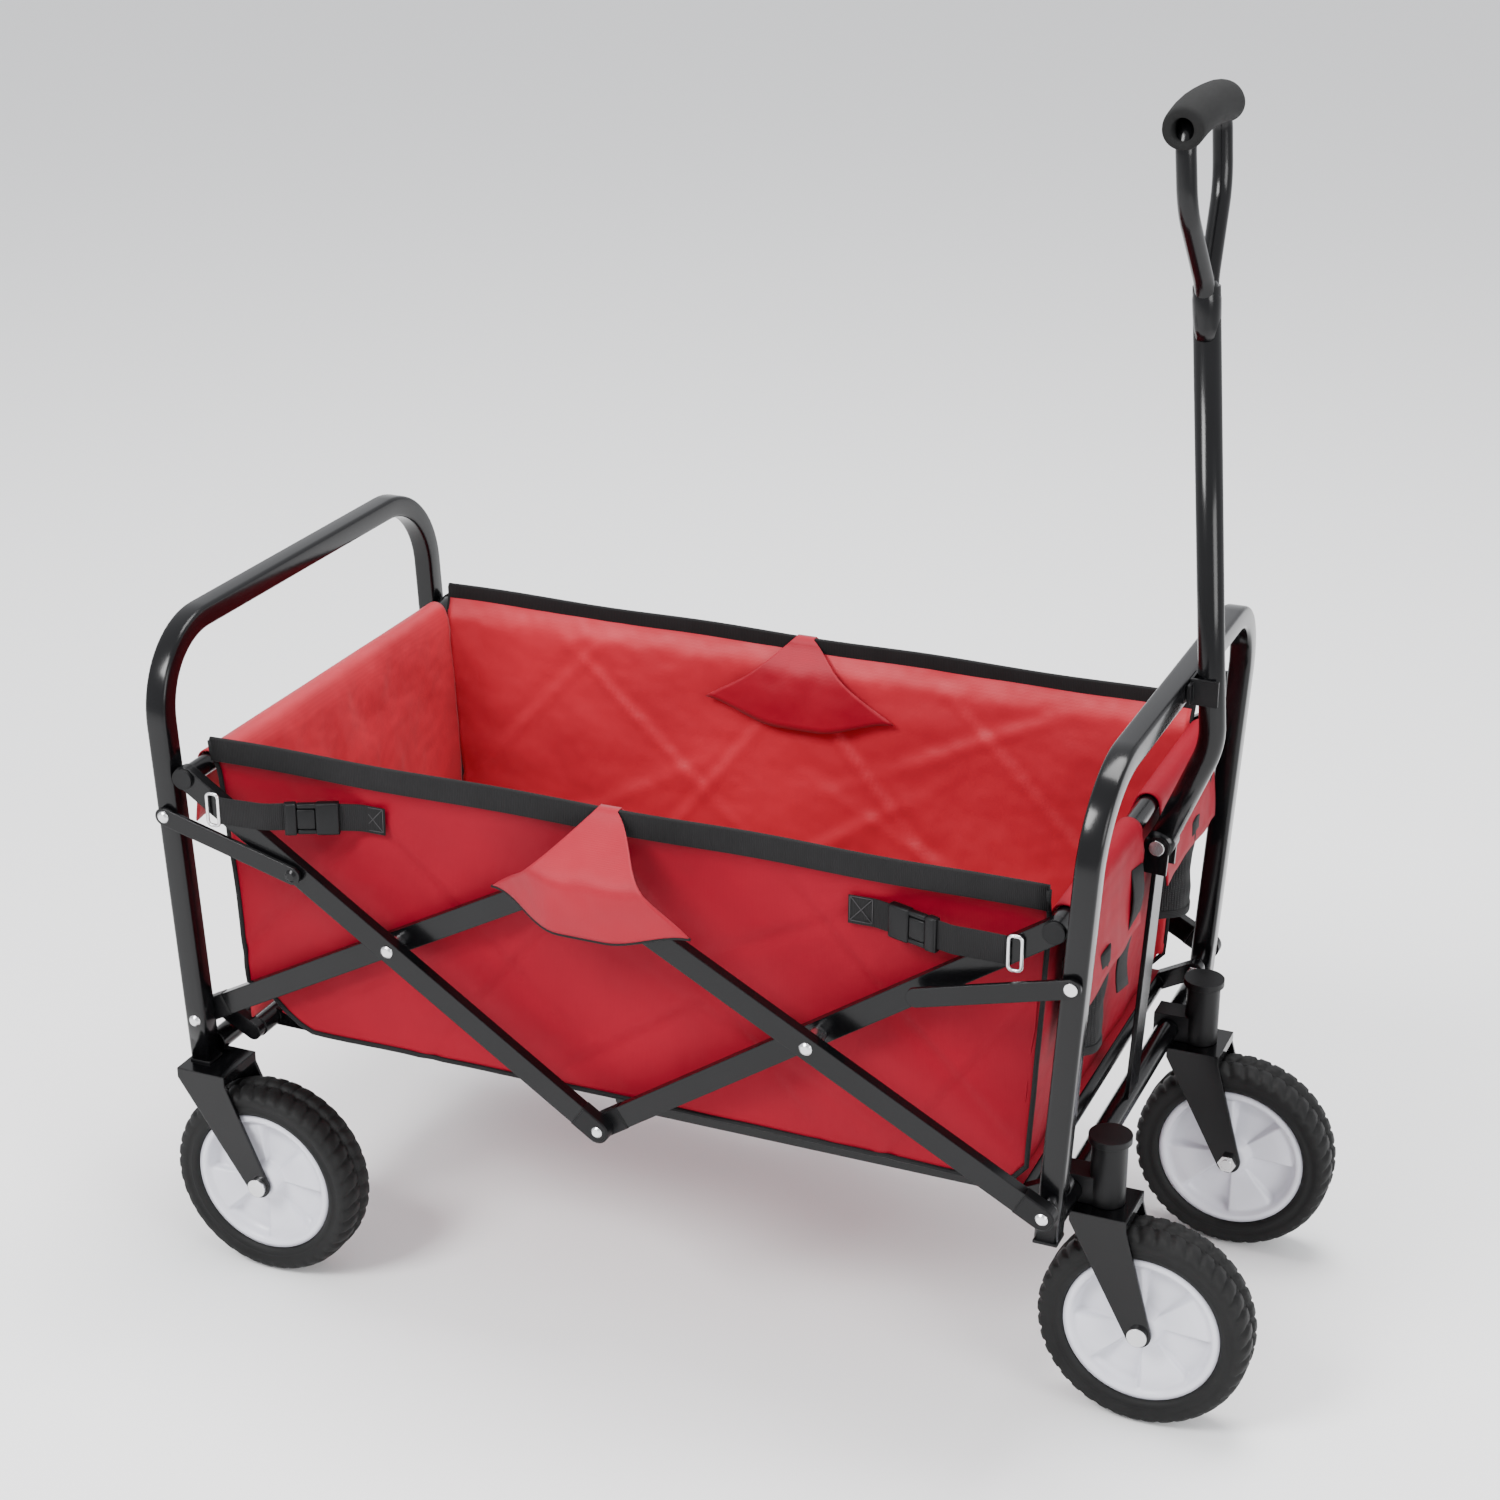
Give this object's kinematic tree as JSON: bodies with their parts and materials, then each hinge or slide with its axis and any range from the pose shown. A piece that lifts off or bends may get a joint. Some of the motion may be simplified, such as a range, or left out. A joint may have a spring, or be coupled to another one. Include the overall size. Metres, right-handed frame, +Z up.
{
  "type": "folding wagon",
  "caption": "Folding utility wagon: a red fabric tub on a black scissor frame with leaning end hoops, swivel front wheels and a pull handle.",
  "frame": {"origin": "middle of the whole wagon's footprint box, on the floor under the wheels", "axes": "+X towards the handle and the swivel wheels, +Y to the far long side, +Z up"},
  "size_m": [0.9678, 0.531, 1.0685],
  "materials": {
    "black_steel": "gloss black powder coat",
    "zinc_steel": "bright zinc",
    "black_plastic": "moulded",
    "tyre_black": "moulded tread",
    "wheel_white": "satin moulded",
    "foam_black": "foam",
    "fabric_red": "coated woven polyester",
    "webbing_black": "woven webbing and mesh"
  },
  "bodies": {
    "rear_frame": {"rear_hoop": "black_steel", "rear_cross_tube": "black_steel", "rear_fork_near": "black_steel", "rear_fork_far": "black_steel", "rear_axles": "zinc_steel", "pins_post_rear": "zinc_steel", "tub_side_near": "fabric_red", "tub_side_far": "fabric_red", "tub_end_rear": "fabric_red", "tub_floor": "fabric_red", "floor_board": "fabric_red", "sleeve_rear": "fabric_red", "rim_flaps": "fabric_red", "straps_rear": "webbing_black", "buckles_rear": "black_plastic"},
    "bars_rear_low": {"bars_rear_low": "black_steel", "pins_cross_rear": "zinc_steel"},
    "bars_rear_high": {"bars_rear_high": "black_steel", "rear_top_tube": "black_steel", "rear_tube_caps": "black_plastic", "pins_mid_low": "zinc_steel"},
    "bars_front_high": {"bars_front_high": "black_steel", "front_top_tube": "black_steel", "front_tube_caps": "black_plastic", "pins_cross_front": "zinc_steel"},
    "bars_front_low": {"bars_front_low": "black_steel", "pins_mid_top": "zinc_steel"},
    "front_frame": {"front_hoop": "black_steel", "front_cross_tube": "black_steel", "caster_socket_near": "black_plastic", "caster_socket_far": "black_plastic", "pins_post_front": "zinc_steel", "handle_stay": "black_steel", "handle_pin": "zinc_steel", "handle_clip": "black_plastic", "tub_end_front": "fabric_red", "sleeve_front": "fabric_red", "pocket_near": "webbing_black", "pocket_far": "webbing_black", "straps_front": "webbing_black", "buckles_front": "black_plastic"},
    "links_rear": {"links_rear": "black_steel"},
    "links_front": {"links_front": "black_steel"},
    "floor_rear": {"floor_frame_rear": "black_steel"},
    "floor_front": {"floor_frame_front": "black_steel"},
    "handle": {"handle_shaft": "black_steel", "handle_bow": "black_steel", "handle_grip": "foam_black"},
    "wheel_rear_near": {"tyre_rear_near": "tyre_black", "rim_rear_near": "wheel_white"},
    "caster_near": {"caster_fork_near": "black_steel", "caster_axle_near": "zinc_steel"},
    "wheel_front_near": {"tyre_front_near": "tyre_black", "rim_front_near": "wheel_white"},
    "wheel_rear_far": {"tyre_rear_far": "tyre_black", "rim_rear_far": "wheel_white"},
    "caster_far": {"caster_fork_far": "black_steel", "caster_axle_far": "zinc_steel"},
    "wheel_front_far": {"tyre_front_far": "tyre_black", "rim_front_far": "wheel_white"}
  },
  "joints": [
    {"name": "fold", "type": "hinge", "parent": "rear_frame", "child": "bars_rear_low", "pos_m": [-0.45401, 0, 0.235], "axis": [0, -1, 0], "range_deg": [0, 50], "deforming": ["tub_side_near", "tub_side_far", "tub_end_rear", "tub_end_front", "tub_floor", "floor_board", "sleeve_rear", "sleeve_front", "rim_flaps", "pocket_near", "pocket_far", "straps_rear", "straps_front", "buckles_rear", "buckles_front"]},
    {"name": "rear_high_bars", "type": "hinge", "parent": "bars_rear_low", "child": "bars_rear_high", "pos_m": [-0.25462, 0, 0.34269], "axis": [0, -1, 0], "range_deg": [-95.63, 0]},
    {"name": "mid_low_pivot", "type": "hinge", "parent": "bars_rear_high", "child": "bars_front_high", "pos_m": [-0.06059, 0, 0.213], "axis": [0, -1, 0], "range_deg": [0, 91.26]},
    {"name": "front_low_bars", "type": "hinge", "parent": "bars_front_high", "child": "bars_front_low", "pos_m": [0.13345, 0, 0.34269], "axis": [0, -1, 0], "range_deg": [-95.63, 0]},
    {"name": "front_frame_level", "type": "hinge", "parent": "bars_front_low", "child": "front_frame", "pos_m": [0.33284, 0, 0.235], "axis": [0, -1, 0], "range_deg": [0, 50]},
    {"name": "rear_links", "type": "hinge", "parent": "rear_frame", "child": "links_rear", "pos_m": [-0.46491, 0, 0.433], "axis": [0, -1, 0], "range_deg": [0, 88.17]},
    {"name": "front_links", "type": "hinge", "parent": "front_frame", "child": "links_front", "pos_m": [0.34373, 0, 0.433], "axis": [0, -1, 0], "range_deg": [-88.17, 0]},
    {"name": "rear_floor_fold", "type": "hinge", "parent": "rear_frame", "child": "floor_rear", "pos_m": [-0.45401, 0, 0.235], "axis": [0, -1, 0], "range_deg": [0, 77]},
    {"name": "front_floor_fold", "type": "hinge", "parent": "front_frame", "child": "floor_front", "pos_m": [0.33284, 0, 0.235], "axis": [0, -1, 0], "range_deg": [-77, 0]},
    {"name": "handle_swing", "type": "hinge", "parent": "front_frame", "child": "handle", "pos_m": [0.34478, 0, 0.452], "axis": [0, 1, 0], "range_deg": [0, 100]},
    {"name": "caster_swivel_near", "type": "hinge", "parent": "front_frame", "child": "caster_near", "pos_m": [0.35491, -0.148, 0.2], "axis": [0, 0, 1], "continuous": true},
    {"name": "wheel_spin_front_near", "type": "hinge", "parent": "caster_near", "child": "wheel_front_near", "pos_m": [0.39391, -0.148, 0.09], "axis": [0, 1, 0], "continuous": true},
    {"name": "wheel_spin_rear_near", "type": "hinge", "parent": "rear_frame", "child": "wheel_rear_near", "pos_m": [-0.38959, -0.232, 0.09], "axis": [0, 1, 0], "continuous": true},
    {"name": "caster_swivel_far", "type": "hinge", "parent": "front_frame", "child": "caster_far", "pos_m": [0.35491, 0.148, 0.2], "axis": [0, 0, 1], "continuous": true},
    {"name": "wheel_spin_front_far", "type": "hinge", "parent": "caster_far", "child": "wheel_front_far", "pos_m": [0.39391, 0.148, 0.09], "axis": [0, 1, 0], "continuous": true},
    {"name": "wheel_spin_rear_far", "type": "hinge", "parent": "rear_frame", "child": "wheel_rear_far", "pos_m": [-0.38959, 0.232, 0.09], "axis": [0, 1, 0], "continuous": true}
  ],
  "couplings": [
    {"joint": "rear_high_bars", "follows": "fold", "ratio": -1.9126},
    {"joint": "mid_low_pivot", "follows": "fold", "ratio": 1.8252},
    {"joint": "front_low_bars", "follows": "fold", "ratio": -1.9126},
    {"joint": "front_frame_level", "follows": "fold", "ratio": 1},
    {"joint": "rear_links", "follows": "fold", "ratio": 1.7633},
    {"joint": "front_links", "follows": "fold", "ratio": -1.7633},
    {"joint": "rear_floor_fold", "follows": "fold", "ratio": 1.54},
    {"joint": "front_floor_fold", "follows": "fold", "ratio": -1.54}
  ]
}
